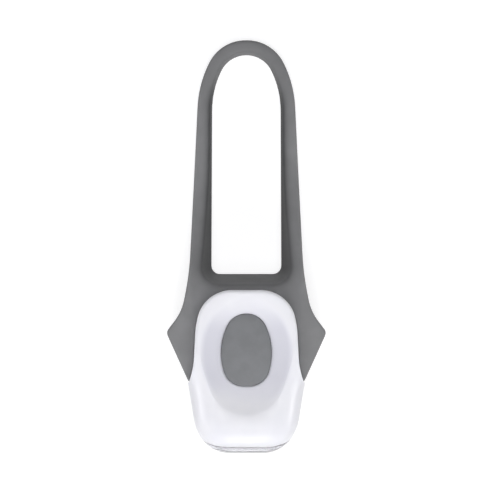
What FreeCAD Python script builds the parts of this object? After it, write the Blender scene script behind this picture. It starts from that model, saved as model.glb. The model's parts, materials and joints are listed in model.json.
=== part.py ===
import FreeCAD, Part
import math
import os

# A bicycle safety light: a milky plastic lamp module that slides into a grey silicone
# holder, whose strap loop stretches round a handlebar and hooks behind two pointed ears.
# Frame: the light lies on its back. +X is across it, +Y runs to the strap loop, +Z to the
# button. The origin is on the axis of the coin cells, in the plane of the holder's back.

# Coin cells, which set the size of the body
cell_diameter = 20.0
cell_thickness = 3.2
cell_edge_step = 0.9          # the smaller can on the negative side
cell_cap_height = 0.8
cell_chamfer = 0.2
cell_play = 0.3

# Gaps
slide_gap = 0.15              # module in the silicone, all round
lift_gap = 0.2                # module over the back pad
turn_gap = 0.1                # battery cover in its seat
stack_gap = 0.05              # between pieces laid on each other
button_gap = 0.2              # button in its hole
plunger_gap = 0.08            # switch plunger in its bore

# Silicone holder
loop_end = 76.0
loop_end_half = 6.5
loop_round = 10.0
loop_shoulder_half = 11.8
loop_shoulder_back = 11.0     # from the end of the loop
loop_shoulder_round = 27.0
root_step = 1.8               # root of the loop inside the neck
root_rise = 0.15              # root of the loop past the foot of its hole
root_round = 60.0
side_wall = 2.8               # silicone beside the window, at the neck
neck_y = 9.2
neck_round = 13.0
ear_reach = 3.92              # ears beyond the neck
ear_y = 4.1
ear_round = 1.4
foot_step = 0.25              # foot of the holder inside the window's foot
foot_y = -8.2
strap_thickness = 4.0
shoulder_height = 12.5
holder_crown = 12.9
crown_step = 3.4              # crown inside the neck
ear_top = 9.4
ear_underside = 4.4
ear_margin = 0.5              # cross profile past the tips of the ears
back_flat_step = 5.0          # flat of the back inside the neck
pad_thickness = 3.6
tongue_step = 1.6             # tongue inside the sides of the module
tongue_round = 6.5
ramp_length = 24.0            # from the shoulders down to the strap
ramp_round = 60.0
shoulder_back = 1.75          # head of the ramp, short of the foot of the hole
shoulder_round = 20.0
crown_round = 3.0
back_round = 6.0
front_edge_round = 0.6
hole_edge_round = 1.2
back_edge_round = 0.5

# Loop hole at the holder's back; its walls open towards the front
hole_end_back = 3.8           # strap's width at the end of the loop
hole_end_half = 4.2
hole_round = 6.6
hole_shoulder_half = 8.25
hole_shoulder_back = 12.2     # from the end of the loop
hole_shoulder_round = 22.0
hole_foot_half = 8.45
web_width = 4.35              # silicone between the window and the loop hole
hole_foot_round = 1.9
web_inset = 0.15              # trough above the web, inside the walls of the hole
web_round = 1.5
web_head_height = 12.8        # floor of the trough at the window
web_foot_height = 8.0         # and at the hole
hole_draft = 13.0

# Saddle for the handlebar, across the back
saddle_radius = 16.0
saddle_depth = 2.2
rib_count = 4
rib_pitch = 3.2
rib_radius = 0.45

# Window in the holder's front, which the module stands through
window_top_step = 2.6         # inside the waist
window_top_round = 8.7
window_side_step = 0.5        # inside the waist
window_side_y = 5.2
window_side_round = 24.0
window_waist_y = -5.2
window_waist_round = 16.0
window_foot_step = 1.3        # outside the waist
window_foot_y = -8.6
foot_inset = 0.1              # sides of the module inside the window's foot

# Lamp module
wall = 1.4
base_wall = 1.2               # round the seat of the battery cover
base_top_half = 9.8
base_top_round = 5.0
base_shoulder_y = 7.5
base_shoulder_round = 8.0
base_shoulder_step = 0.3
split_z = 9.3                 # where the back and front housings part
bulb_waist_step = 1.7         # inside the sides of the module
bulb_waist_back = 6.15        # from the end
bulb_waist_round = 11.8
bulb_end_step = 5.4           # inside the sides of the module
bulb_end_round = 8.4
crest_rise = 3.9              # height of the front over the seal's shelf, on the cells' axis
front_tilt = 4.2              # degrees by which the front rises towards the lens end
front_round = 7.0             # front edge of the body
side_bend_round = 8.0
side_flare = 0.5              # sideways per length, past the neck, so that it keeps a low edge
nose_round = 6.0
nose_low = 8.6
nose_overhang = 0.3           # side profile past the end of the plan outline
chin_back = 7.85              # from the end
chin_round = 7.0
belly_round = 3.0
edge_round = 0.9
gasket_thickness = 0.4
gasket_inset = 0.3

# Bowl round the button
bowl_half_width = 11.4
bowl_half_length = 14.6
bowl_centre_y = -1.0
bowl_depth = 2.3
bowl_sharpness = 8.0          # half-height of the ellipsoid that scoops it

# Button
button_top = 8.8
button_top_half = 3.3
button_top_round = 5.0
button_waist_half = 7.15
button_waist_y = 0.6
button_waist_round = 15.0
button_foot = -8.85
button_foot_half = 4.5
button_foot_round = 5.1
button_rise = 3.05            # top of the button over the seal's shelf
button_crown_y = -3.5
button_dome_radius = 65.0
button_edge = 0.4
button_travel = 0.5
button_flange = 0.7
button_flange_thickness = 0.5
button_clear = 0.4            # between the pressed button and the board
button_recess_radius = 4.2
seal_thickness = 0.6
seal_width = 1.2
seal_shelf = 0.8              # moulded shelf beyond the seal

# End lens and its seal; the seam leans so that the lens looks a little down
seam_back = 5.15              # from the end, at the seam's middle
seam_z = 12.0
seam_tilt = 22.5
seal_slot = 0.4
seal_inset = 0.2
lens_wall = 1.3
lens_spigot = 1.2
lens_spigot_wall = 0.8
lens_step = 0.7

# Battery cover, a bayonet disc
cover_rim_thickness = 1.3
cover_reach = 1.1             # rim beyond the lugs
ledge_thickness = 0.9
lug_thickness = 0.85
lug_reach = 0.8
lug_angle = 24.0
lug_count = 3
lug_play = 4.0                # degrees by which the entries are wider than the lugs
unlock_turn = 30.0
cover_ring_wall = 1.6
coin_slot_length = 13.0
coin_slot_width = 1.8
coin_slot_depth = 0.7
ring_section = 0.66
ring_play = 0.02
bay_wall = 0.7
bay_clearance = 0.45          # bay in the front housing

# Circuit board and what is on it
board_thickness = 1.0
board_edge_gap = 0.35
leaf_height = 0.65
metal = 0.2                   # thickness of the contact springs
leaf_width = 4.0
leaf_root_y = 4.0
leaf_bend_y = -1.0
leaf_touch_y = -5.5
leaf_tail = 1.5
contact_gap = 0.03            # between the contacts and the cells
strip_width = 3.0
strip_touch_height = 1.3
strip_bend = 1.4
strip_tail_out = 0.6
strip_tail_drop = 0.8
strip_gap = 0.2
strip_window_gap = 0.2
switch_width = 5.2
switch_height = 1.5
switch_frame_thickness = 0.2
plunger_radius = 1.3
plunger_rise = 0.55
plunger_depth = 0.6
chip_size = (3.0, 2.2, 0.9)
chip_step = 0.1               # chip inside the bay's edge
capacitor_size = (2.0, 1.25, 1.1)
resistor_size = (1.6, 0.8, 0.45)
resistor_count = 3
resistor_pitch = 2.4
first_resistor_x = -4.8
capacitor_x = 3.6

# Lamps: two 5 mm LEDs in a twin reflector
led_radius = 2.5
led_length = 7.0
led_flange_radius = 2.9
led_flange_thickness = 1.0
led_x = 4.5
led_z = 11.8
led_gap = 1.2                 # from the bay's wall to the LEDs
lamp_room = 13.15             # from the back of the LEDs to the end of the lens
lead_pitch = 2.54
lead_width = 0.5
lead_bend = 1.1               # from the flange to where the leads turn up
reflector_mouth_radius = 5.4
reflector_wall = 0.7
reflector_plate = 0.9
reflector_gap = 0.1
reflector_back = 0.2          # behind it, to the flanges of the LEDs

# Fasteners
housing_screw_step = 0.9      # inside the bay's edge, across
housing_screw_back = 0.4      # past the back of the LEDs
housing_screw_radius = 0.8
housing_screw_head_radius = 1.4
housing_screw_head = 1.1
housing_screw_length = 8.0
housing_post_radius = 1.75
housing_post_top = 16.5
post_web = 1.0                # thickness of the webs that tie the posts to the wall
pilot_spare = 0.5             # holes deeper than their screws
cross_slot_width = 0.5
cross_slot_length = 1.6
recess_gap = 0.1
thread_gap = 0.02
board_screw_step = 1.6        # inside the bay's edge, across
board_screw_back = 1.6        # inside the bay's edge, along
board_screw_radius = 0.6
board_screw_head_radius = 1.15
board_screw_head = 0.7
board_screw_length = 3.6
board_boss_radius = 1.3
hook_half = 3.0
hook_thickness = 1.0
hook_lip = 1.1
hook_lip_thickness = 0.7
hook_gap = 0.1
hook_clearance = 0.2          # between the hook and the bay
hook_depth = 1.55             # below the split
hook_root = 2.0               # above the gasket, where the hook joins the shell

far = 120.0                   # larger than the whole light, for cutting
over = 1.0                    # how far a cutting block runs past what it cuts
least_round = 0.05

# Radii that follow from the cells
bay_radius = cell_diameter / 2 + cell_play
bay_outer = bay_radius + bay_wall
groove_radius = bay_radius + lug_reach
lug_radius = groove_radius - turn_gap
spigot_radius = bay_radius - turn_gap
rim_radius = groove_radius + cover_reach
rim_seat_radius = rim_radius + turn_gap
base_half = rim_seat_radius + base_wall

# Widths that follow from the bay
window_waist_half = bay_outer + bay_clearance + wall + slide_gap
window_foot_half = window_waist_half + window_foot_step
body_half = window_foot_half - foot_inset
neck_half = window_waist_half + side_wall
ear_half = neck_half + ear_reach
foot_half = window_foot_half - foot_step
tongue_half = body_half - tongue_step
housing_screw_x = bay_outer - housing_screw_step
board_screw_x = bay_outer - board_screw_step

# Places along the light that follow from the bay
tilt = math.radians(front_tilt)
base_top = (bay_outer + hook_clearance + hook_thickness + hook_gap) * math.cos(tilt) \
    + (shoulder_height - split_z + wall) * math.sin(tilt) + wall
window_top = base_top + slide_gap
hole_foot_y = window_top + web_width
root_y = hole_foot_y + root_rise
board_screw_y = board_screw_back - bay_outer
led_base_y = -bay_outer - led_gap
housing_screw_y = led_base_y - housing_screw_back
bulb_end = led_base_y - lamp_room
seam_y = bulb_end + seam_back
chin_y = bulb_end + chin_back

# Heights that follow from each other, from the back up
back_z = pad_thickness + lift_gap
cover_z = back_z + stack_gap
rim_z = cover_z + cover_rim_thickness
ledge_z = rim_z + stack_gap
ledge_top = ledge_z + ledge_thickness
lug_z = ledge_top + stack_gap
lug_top = lug_z + lug_thickness
cell_z = lug_top + stack_gap
cell_top = cell_z + 2 * cell_thickness
board_z = cell_top + leaf_height
board_top = board_z + board_thickness
frame_z = board_top + switch_height
plunger_top = frame_z + switch_frame_thickness + plunger_rise
button_floor = plunger_top + stack_gap
front_z = split_z + gasket_thickness
flange_z = board_top + button_travel + button_clear
seal_z = flange_z + button_flange_thickness + stack_gap
shelf_z = seal_z + seal_thickness
crest_level = shelf_z + crest_rise
button_crown = shelf_z + button_rise
led_back_y = led_base_y - led_flange_thickness
reflector_y = led_back_y - reflector_back
lead_y = led_base_y + lead_bend
board_end = led_base_y + turn_gap


def outline(corners, place):
    """Closed wire through corners (u, v, radius), each rounded by an arc."""
    count = len(corners)
    starts, ends, middles = [], [], []
    for index in range(count):
        u, v, radius = corners[index]
        here = FreeCAD.Vector(u, v, 0)
        before = FreeCAD.Vector(corners[index - 1][0], corners[index - 1][1], 0) - here
        after_corner = corners[(index + 1) % count]
        after = FreeCAD.Vector(after_corner[0], after_corner[1], 0) - here
        before.normalize()
        after.normalize()
        half = before.getAngle(after) / 2
        if radius == 0 or abs(half - math.pi / 2) < 1e-6:
            starts.append(here)
            ends.append(here)
            middles.append(None)
            continue
        reach = radius / math.tan(half)
        bisector = before + after
        bisector.normalize()
        centre = here + bisector * (radius / math.sin(half))
        starts.append(here + before * reach)
        ends.append(here + after * reach)
        middles.append(centre - bisector * radius)
    edges = []
    for index in range(count):
        if middles[index] is not None:
            arc = Part.Arc(place(starts[index]), place(middles[index]), place(ends[index]))
            edges.append(arc.toShape())
        following = (index + 1) % count
        if (ends[index] - starts[following]).Length > 1e-6:
            edges.append(Part.makeLine(place(ends[index]), place(starts[following])))
    return Part.Wire(edges)


def mirrored(half):
    """Corners of a whole outline from those of its +u half, listed round from top to bottom."""
    other = [(-u, v, radius) for u, v, radius in reversed(half)]
    return half + other


def grown(corners, distance):
    """The same outline moved outwards by a distance, with its radii grown to suit."""
    count = len(corners)
    area = sum(corners[i - 1][0] * corners[i][1] - corners[i][0] * corners[i - 1][1]
               for i in range(count))
    side = 1 if area > 0 else -1
    result = []
    for index in range(count):
        u, v, radius = corners[index]
        here = FreeCAD.Vector(u, v, 0)
        last = FreeCAD.Vector(corners[index - 1][0], corners[index - 1][1], 0)
        following = corners[(index + 1) % count]
        next_point = FreeCAD.Vector(following[0], following[1], 0)
        incoming = (here - last).normalize()
        outgoing = (next_point - here).normalize()
        normal_in = FreeCAD.Vector(incoming.y, -incoming.x, 0) * side
        normal_out = FreeCAD.Vector(outgoing.y, -outgoing.x, 0) * side
        shift = (normal_in + normal_out) * (distance / (1 + normal_in.dot(normal_out)))
        turn = incoming.cross(outgoing).z * side
        change = distance if turn > 0 else -distance
        new_radius = max(radius + change, least_round) if radius else 0
        result.append((u + shift.x, v + shift.y, new_radius))
    return result


def plan_block(corners, low, high):
    """Outline in X and Y, raised along Z."""
    wire = outline(corners, lambda p: FreeCAD.Vector(p.x, p.y, low))
    return Part.Face(wire).extrude(FreeCAD.Vector(0, 0, high - low))


def side_block(corners, half_width=far):
    """Profile in Y and Z, carried along X."""
    wire = outline(corners, lambda p: FreeCAD.Vector(-half_width, p.x, p.y))
    return Part.Face(wire).extrude(FreeCAD.Vector(2 * half_width, 0, 0))


def section_block(corners, low=-far, high=far):
    """Profile in X and Z, carried along Y."""
    wire = outline(corners, lambda p: FreeCAD.Vector(p.x, low, p.y))
    return Part.Face(wire).extrude(FreeCAD.Vector(0, high - low, 0))


def box(x0, x1, y0, y1, z0, z1):
    return Part.makeBox(x1 - x0, y1 - y0, z1 - z0, FreeCAD.Vector(x0, y0, z0))


def post(radius, x, y, z0, z1):
    return Part.makeCylinder(radius, z1 - z0, FreeCAD.Vector(x, y, z0))


def ring(outer, inner, z0, z1):
    return tube(outer, inner, 0, 0, z0, z1)


def tube(outer, inner, x, y, z0, z1):
    return post(outer, x, y, z0, z1).cut(post(inner, x, y, z0, z1))


def sector(outer, inner, z0, z1, centre, width):
    """Part of a ring, centred on an angle in degrees round the cell axis."""
    axis = FreeCAD.Vector(0, 0, 1)
    piece = Part.makeCylinder(outer, z1 - z0, FreeCAD.Vector(0, 0, z0), axis, width)
    piece.rotate(FreeCAD.Vector(0, 0, 0), axis, centre - width / 2)
    return piece.cut(post(inner, 0, 0, z0, z1))


def both_sides(make, x):
    """The same piece made at +x and at -x."""
    return [make(side * x) for side in (-1, 1)]


def joined(first, *others):
    return first.fuse(list(others)).removeSplitter()


def edges_where(shape, test):
    """Edges whose middle point and two face slopes pass a test; 0 is upright, 1 is flat."""
    found = []
    for edge in shape.Edges:
        middle = edge.valueAt((edge.FirstParameter + edge.LastParameter) / 2)
        slopes = []
        for face in shape.ancestorsOfType(edge, Part.Face):
            u, v = face.Surface.parameter(middle)
            slopes.append(abs(face.normalAt(u, v).z))
        if test(middle, min(slopes), max(slopes)):
            found.append(edge)
    return found


def beyond_seam(offset):
    """Everything past the seam plane of the lens, moved outwards by offset."""
    block = Part.makeBox(2 * far, far, 2 * far, FreeCAD.Vector(-far, -far - offset, -far))
    block.rotate(FreeCAD.Vector(0, 0, 0), FreeCAD.Vector(1, 0, 0), seam_tilt)
    block.translate(FreeCAD.Vector(0, seam_y, seam_z))
    return block


def holder_corners():
    """Outline of the silicone from the front: strap loop, shoulders and pointed ears."""
    half = [
        (loop_end_half, loop_end, loop_round),
        (loop_shoulder_half, loop_end - loop_shoulder_back, loop_shoulder_round),
        (neck_half - root_step, root_y, root_round),
        (neck_half, neck_y, neck_round),
        (ear_half, ear_y, ear_round),
        (foot_half, foot_y, 0),
    ]
    return mirrored(half)


def hole_corners():
    half = [
        (hole_end_half, loop_end - hole_end_back, hole_round),
        (hole_shoulder_half, loop_end - hole_shoulder_back, hole_shoulder_round),
        (hole_foot_half, hole_foot_y, hole_foot_round),
    ]
    return mirrored(half)


def window_corners():
    half = [
        (window_waist_half - window_top_step, window_top, window_top_round),
        (window_waist_half - window_side_step, window_side_y, window_side_round),
        (window_waist_half, window_waist_y, window_waist_round),
        (window_foot_half, window_foot_y, 0),
    ]
    return mirrored(half)


def body_corners():
    """Outline of the module's body: its sides and its round end, running on at the top."""
    half = [
        (body_half + side_flare * far, window_foot_y + far, 0),
        (body_half, window_foot_y, side_bend_round),
        (body_half - bulb_waist_step, bulb_end + bulb_waist_back, bulb_waist_round),
        (body_half - bulb_end_step, bulb_end, bulb_end_round),
    ]
    return mirrored(half)


def neck_corners():
    """The window's outline, running on at the foot: what narrows the front of the body."""
    top = grown(window_corners(), -slide_gap)[:3]
    flare = window_foot_step / (window_waist_y - window_foot_y)
    wide = top[2][0] + flare * (top[2][1] + far)
    return mirrored(top + [(wide, -far, 0)])


def base_corners():
    """What narrows the back of the body, wider than the window so that the lip holds it."""
    half = [
        (base_top_half, base_top, base_top_round),
        (base_half, base_shoulder_y, base_shoulder_round),
        (base_half, foot_y - slide_gap, 0),
        (far, foot_y - slide_gap, 0),
        (far, -far, 0),
    ]
    return mirrored(half)


def button_corners():
    half = [
        (button_top_half, button_top, button_top_round),
        (button_waist_half, button_waist_y, button_waist_round),
        (button_foot_half, button_foot, button_foot_round),
    ]
    return mirrored(half)


def drafted_hole():
    """Loop hole with walls that open towards the front, as it leaves the mould."""
    slope = math.tan(math.radians(hole_draft))
    wires = []
    for height in (-over, holder_crown + over):
        corners = grown(hole_corners(), height * slope)
        wires.append(outline(corners, lambda p: FreeCAD.Vector(p.x, p.y, height)))
    return Part.makeLoft(wires, True, True)


def holder_form():
    """Outer form of the holder: plan, side and cross profiles cut from one block."""
    side = [
        (far, 0, 0),
        (far, strap_thickness, 0),
        (hole_foot_y - shoulder_back + ramp_length, strap_thickness, ramp_round),
        (hole_foot_y - shoulder_back, shoulder_height, shoulder_round),
        (-far, shoulder_height, 0),
        (-far, 0, 0),
    ]
    form = plan_block(holder_corners(), -over, holder_crown + over)
    form = form.common(side_block(side)).common(section_block(holder_section()))
    form = form.cut(drafted_hole()).removeSplitter()

    def front_edge(middle, low, high):
        upper = middle.z > ear_underside or abs(middle.x) < neck_half
        return low < 0.01 and high > 0.2 and upper and middle.z > strap_thickness - 0.1 \
            and middle.y > foot_y + 0.1

    def hole_edge(middle, low, high):
        return 0.2 < low < 0.35 and high > 0.6
    form = form.makeFillet(front_edge_round, edges_where(form, front_edge))
    front_hole = edges_where(form, lambda m, low, high: hole_edge(m, low, high) and m.z > 1)
    form = form.makeFillet(hole_edge_round, front_hole)
    back_hole = edges_where(form, lambda m, low, high: hole_edge(m, low, high) and m.z < 1)
    return form.makeFillet(back_edge_round, back_hole)


def web_trough():
    """Steep trough between the two legs, from the window down to the loop hole."""
    half = hole_foot_half - web_inset
    lean = math.tan(math.radians(hole_draft))
    walls = mirrored([(half + holder_crown * lean, holder_crown, 0), (half, 0, 0)])
    start = window_top - wall
    fall = (web_head_height - web_foot_height) / web_width
    floor = [
        (hole_foot_y, far, 0),
        (hole_foot_y, web_foot_height, 0),
        (start, web_foot_height + fall * (hole_foot_y - start), 0),
        (start, far, 0),
    ]
    trough = section_block(walls).common(side_block(floor))
    creases = [e for e in trough.Edges
               if min(e.BoundBox.YLength, e.BoundBox.ZLength) > web_width / 2]
    return trough.makeFillet(web_round, creases)


def holder_section():
    half = [
        (neck_half - crown_step, holder_crown, crown_round),
        (ear_half + ear_margin, ear_top, 0),
        (ear_half + ear_margin, ear_underside, 0),
        (neck_half - back_flat_step, 0, back_round),
    ]
    return mirrored(half)


def silicone_holder():
    """Back pad, cradle, ears and strap loop in one moulding, open at the foot."""
    tongue = mirrored([(tongue_half, 0, 0), (tongue_half, chin_y, tongue_round)])
    pad = plan_block(tongue, 0, pad_thickness).common(section_block(holder_section()))
    holder = holder_form().fuse(pad)
    pocket = plan_block(grown(base_corners(), slide_gap), pad_thickness, split_z + slide_gap)
    window = tilted(plan_block(window_corners(), split_z - over, holder_crown + over))
    below = box(-far, far, -far, foot_y, pad_thickness, holder_crown + over)
    holder = holder.cut([pocket, window, below])
    return holder.cut(saddle_cuts()).removeSplitter()


def saddle_cuts():
    """Trough that lies on the handlebar, with grip grooves along it."""
    axis_z = saddle_depth - saddle_radius
    across = FreeCAD.Vector(1, 0, 0)
    cuts = [Part.makeCylinder(saddle_radius, 2 * far, FreeCAD.Vector(-far, 0, axis_z), across)]
    for index in range(rib_count):
        angle = (index - (rib_count - 1) / 2) * rib_pitch / saddle_radius
        y = saddle_radius * math.sin(angle)
        z = axis_z + saddle_radius * math.cos(angle)
        cuts.append(Part.makeCylinder(rib_radius, 2 * far, FreeCAD.Vector(-far, y, z), across))
    return cuts


def back_block(inset):
    """What shapes the back of the module: flat, with rounded side edges and a chin."""
    nose_y = bulb_end - nose_overhang
    profile = [
        (far, back_z, 0),
        (far, far, 0),
        (nose_y, far, 0),
        (nose_y, nose_low, nose_round),
        (chin_y, back_z, chin_round),
    ]
    section = [
        (window_foot_half, far, 0),
        (window_foot_half, back_z, belly_round),
    ]
    sides = section_block(grown(mirrored(section), -inset))
    return side_block(grown(profile, -inset)).common(sides)


def tilted(block):
    """A block of the front, turned so that the front rises towards the lens end."""
    block.rotate(FreeCAD.Vector(0, 0, shoulder_height), FreeCAD.Vector(1, 0, 0), -front_tilt)
    return block


def front_block(corners, inset, edge):
    """Outline raised to the front's level, its front edge rounded, then tilted."""
    top = crest_level - inset
    block = plan_block(grown(corners, -inset), -over, top)
    if edge > inset:
        rim = [e for e in block.Edges if e.BoundBox.ZMin > top - least_round
               and e.BoundBox.YMin < window_top and e.BoundBox.YMax > -far / 2]
        block = block.makeFillet(edge - inset, rim)
    return tilted(block)


def front_plan(inset, low, high):
    """Slab as wide as the front outline, window part and round end."""
    slab = box(-far, far, -far, far, low, high)
    return slab.common(front_block(neck_corners(), inset, 0)).common(
        front_block(body_corners(), inset, 0))


def body_form(inset):
    """Body as wide as the window's foot all along, or its hollow, a wall inside."""
    return front_block(body_corners(), inset, front_round).common(back_block(inset))


def front_form(inset):
    """Form of the module under the front outline, or its hollow."""
    return body_form(inset).common(front_block(neck_corners(), inset, edge_round))


def base_form(inset):
    """Form of the wider back half, or its hollow."""
    return plan_block(grown(base_corners(), -inset), 0, split_z).common(body_form(inset))


def bowl_scoop(deeper):
    """Tilted ellipsoid that scoops the bowl round the button, or its underside."""
    lip_height = bowl_sharpness - bowl_depth
    spread = math.sqrt(1 - (lip_height / bowl_sharpness) ** 2)
    shape = FreeCAD.Matrix()
    shape.scale(bowl_half_width / spread + deeper, bowl_half_length / spread + deeper,
                bowl_sharpness + deeper)
    scoop = Part.makeSphere(1.0).transformGeometry(shape)
    lip_z = crest_level - math.tan(tilt) * bowl_centre_y
    scoop.rotate(FreeCAD.Vector(0, 0, 0), FreeCAD.Vector(1, 0, 0), -front_tilt)
    scoop.translate(FreeCAD.Vector(0, bowl_centre_y, lip_z + lip_height))
    return scoop


def front_housing():
    """Milky front shell with the bowl, button hole, screw posts and top hook."""
    outer = front_form(0)
    shelf = plan_block(grown(button_corners(), seal_width + seal_shelf), shelf_z, far)
    hollow = front_form(wall).cut(bowl_scoop(wall)).cut(shelf)
    shell = outer.cut(bowl_scoop(0)).cut(hollow)
    shell = shell.cut(box(-far, far, -far, far, 0, front_z))
    shell = shell.cut(plan_block(grown(button_corners(), button_gap), 0, far))
    inside = front_form(wall / 2)
    posts = both_sides(lambda x: post(housing_post_radius, x, housing_screw_y, front_z,
                                      housing_post_top).common(inside), housing_screw_x)
    webs = both_sides(lambda x: box(*sorted((x, math.copysign(far, x))),
                                    housing_screw_y - post_web / 2, housing_screw_y + post_web / 2,
                                    front_z, far).common(inside), housing_screw_x)
    bosses = both_sides(lambda x: post(board_boss_radius, x, board_screw_y, board_top,
                                       far).common(inside), board_screw_x)
    shell = joined(shell, *posts, *webs, *bosses, top_hook())
    pilots = both_sides(lambda x: post(housing_screw_radius + thread_gap, x, housing_screw_y, 0,
                                       back_z + housing_screw_length + pilot_spare),
                        housing_screw_x)
    pilots += both_sides(lambda x: post(board_screw_radius + thread_gap, x, board_screw_y, 0,
                                        board_z + board_screw_length), board_screw_x)
    return shell.cut(pilots + [beyond_seam(0)])


def tilted_y(y, z):
    """Where an upright face of a tilted block, which stood at y, lies at a height z."""
    return (y + (z - shoulder_height) * math.sin(tilt)) / math.cos(tilt)


def hook_y():
    """Face of the hook towards the top wall of the back housing."""
    return tilted_y(base_top - wall, split_z - wall) - hook_gap


def top_hook():
    """Tab that tucks under the back housing's top wall, opposite the screws."""
    face = hook_y()
    low = split_z - hook_depth
    root_top = front_z + hook_root
    tab = box(-hook_half, hook_half, face - hook_thickness, face, low, root_top)
    root = box(-hook_half, hook_half, face - hook_thickness,
               tilted_y(base_top - wall / 2, front_z), front_z, root_top)
    lip = box(-hook_half, hook_half, face - hook_thickness, face + hook_lip, low,
              low + hook_lip_thickness)
    return joined(tab, root, lip)


def rear_housing():
    """Back shell with the bayonet seat, the cell bay and the screw posts."""
    outer = base_form(0).removeSplitter()
    rim_opening = front_plan(wall, split_z - wall, split_z)
    hollow = base_form(wall).common(box(-far, far, -far, far, 0, split_z - wall))
    shell = outer.cut([hollow, rim_opening.common(front_form(wall))])
    seat_top = lug_top + stack_gap
    boss = post(rim_seat_radius + wall / 2, 0, 0, back_z, seat_top + wall / 2).common(outer)
    bay = post(bay_outer, 0, 0, back_z, board_z)
    posts = both_sides(lambda x: post(housing_post_radius, x, housing_screw_y, back_z, split_z)
                       .common(outer), housing_screw_x)
    shell = joined(shell, boss, bay, *posts)
    cuts = [post(bay_radius, 0, 0, 0, far), post(rim_seat_radius, 0, 0, 0, ledge_z),
            post(groove_radius, 0, 0, ledge_top, seat_top), strip_window(), hook_pocket()]
    for index in range(lug_count):
        centre = lug_centre(index) + unlock_turn
        cuts.append(sector(groove_radius, bay_radius / 2, 0, seat_top, centre,
                           lug_angle + lug_play))
    cuts += both_sides(lambda x: post(housing_screw_head_radius + recess_gap, x,
                       housing_screw_y, 0, back_z + housing_screw_head + recess_gap),
                       housing_screw_x)
    cuts += both_sides(lambda x: post(housing_screw_radius + recess_gap, x, housing_screw_y, 0,
                       split_z + over), housing_screw_x)
    return shell.cut(cuts + [beyond_seam(0)])


def hook_pocket():
    """Recess in the top wall that takes the hook's lip."""
    low = split_z - hook_depth
    wide = hook_half + hook_gap
    return box(-wide, wide, hook_y() - hook_thickness - hook_gap, hook_y() + hook_lip + hook_gap,
               low - hook_gap, low + hook_lip_thickness + hook_gap)


def strip_window():
    """Opening in the bay wall where the side contact reaches the outer cell."""
    wide = strip_width / 2 + strip_window_gap
    outer = bay_outer + strip_gap + metal + strip_window_gap
    return box(-wide, wide, -outer, over - bay_radius, cell_z + stack_gap, cell_z + cell_thickness)


def housing_gasket():
    """Flat ring between the two housings."""
    ring_form = front_plan(gasket_inset, split_z, front_z)
    hole = front_plan(wall - gasket_inset, split_z, front_z)
    return ring_form.common(front_form(gasket_inset)).cut([hole, beyond_seam(0)])


def end_lens():
    """Clear end cap: a hollow shell past the seam with a spigot into the housings."""
    past_seal = beyond_seam(seal_slot)
    cap = front_form(0).common(past_seal).cut(front_form(lens_wall))
    inside = front_form(wall + reflector_gap + lens_spigot_wall)
    step = front_form(lens_wall / 2).common(past_seal).cut(beyond_seam(seal_slot + lens_step))
    spigot = front_form(wall + reflector_gap).common(beyond_seam(-lens_spigot)).cut(past_seal)
    return joined(cap, step.cut(inside), spigot.cut(inside))


def lens_seal():
    seal = front_form(seal_inset).common(beyond_seam(0)).cut(beyond_seam(seal_slot))
    return seal.cut(front_form(wall))


def reflector():
    """Two cones on one plate, which fills the end of the housings behind the lens."""
    front = -lens_spigot - reflector_gap
    plate = front_form(wall + reflector_gap).common(beyond_seam(front - reflector_plate))
    length = reflector_y - bulb_end
    cones, bores = [], []
    for x in (-led_x, led_x):
        at = FreeCAD.Vector(x, reflector_y, led_z)
        along = FreeCAD.Vector(0, -1, 0)
        back = led_radius + reflector_gap
        mouth = reflector_mouth_radius
        cones.append(Part.makeCone(back + reflector_wall, mouth + reflector_wall, length, at, along))
        bores.append(Part.makeCone(back, mouth, length, at, along))
    body = joined(plate, *[cone.common(front_form(wall + reflector_gap)) for cone in cones])
    return body.cut(bores + [beyond_seam(front)])


def led(x):
    """5 mm LED: flange, barrel and dome in one resin body, with two bent leads."""
    along = FreeCAD.Vector(0, -1, 0)
    flange = Part.makeCylinder(led_flange_radius, led_flange_thickness,
                               FreeCAD.Vector(x, led_base_y, led_z), along)
    barrel = led_length - led_radius
    body = Part.makeCylinder(led_radius, barrel, FreeCAD.Vector(x, led_base_y, led_z), along)
    dome = Part.makeSphere(led_radius, FreeCAD.Vector(x, led_base_y - barrel, led_z))
    leads = []
    for lead_x in (x - lead_pitch / 2, x + lead_pitch / 2):
        half = lead_width / 2
        back = box(lead_x - half, lead_x + half, led_base_y, lead_y + half,
                   led_z - half, led_z + half)
        rise = box(lead_x - half, lead_x + half, lead_y - half, lead_y + half,
                   led_z - half, board_top + lead_width)
        leads.append(joined(back, rise))
    return [joined(flange, body, dome)] + leads


def circuit_board():
    """Board cut to the housing, with notches at the screw posts and its drilled holes."""
    board = front_plan(wall + board_edge_gap, board_z, board_top)
    cuts = [box(-far, far, -far, board_end, 0, far)]
    for side in (-1, 1):
        cuts.append(post(housing_post_radius + board_edge_gap, side * housing_screw_x,
                         housing_screw_y, 0, far))
        cuts.append(post(board_screw_radius + recess_gap, side * board_screw_x, board_screw_y,
                         0, far))
        for lead_x in (led_x - lead_pitch / 2, led_x + lead_pitch / 2):
            cuts.append(post(lead_width, side * lead_x, lead_y, 0, far))
    return board.cut(cuts)


def screw(radius, head_radius, head, length, x, y, z):
    """Pan screw driven from the back, its head's face at z, with a cross slot."""
    body = joined(post(head_radius, x, y, z, z + head), post(radius, x, y, z + head, z + length))
    slot = cross_slot_width / 2
    reach = cross_slot_length / 2
    cross = [box(x - reach, x + reach, y - slot, y + slot, z, z + head / 2),
             box(x - slot, x + slot, y - reach, y + reach, z, z + head / 2)]
    return body.cut(cross)


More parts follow.
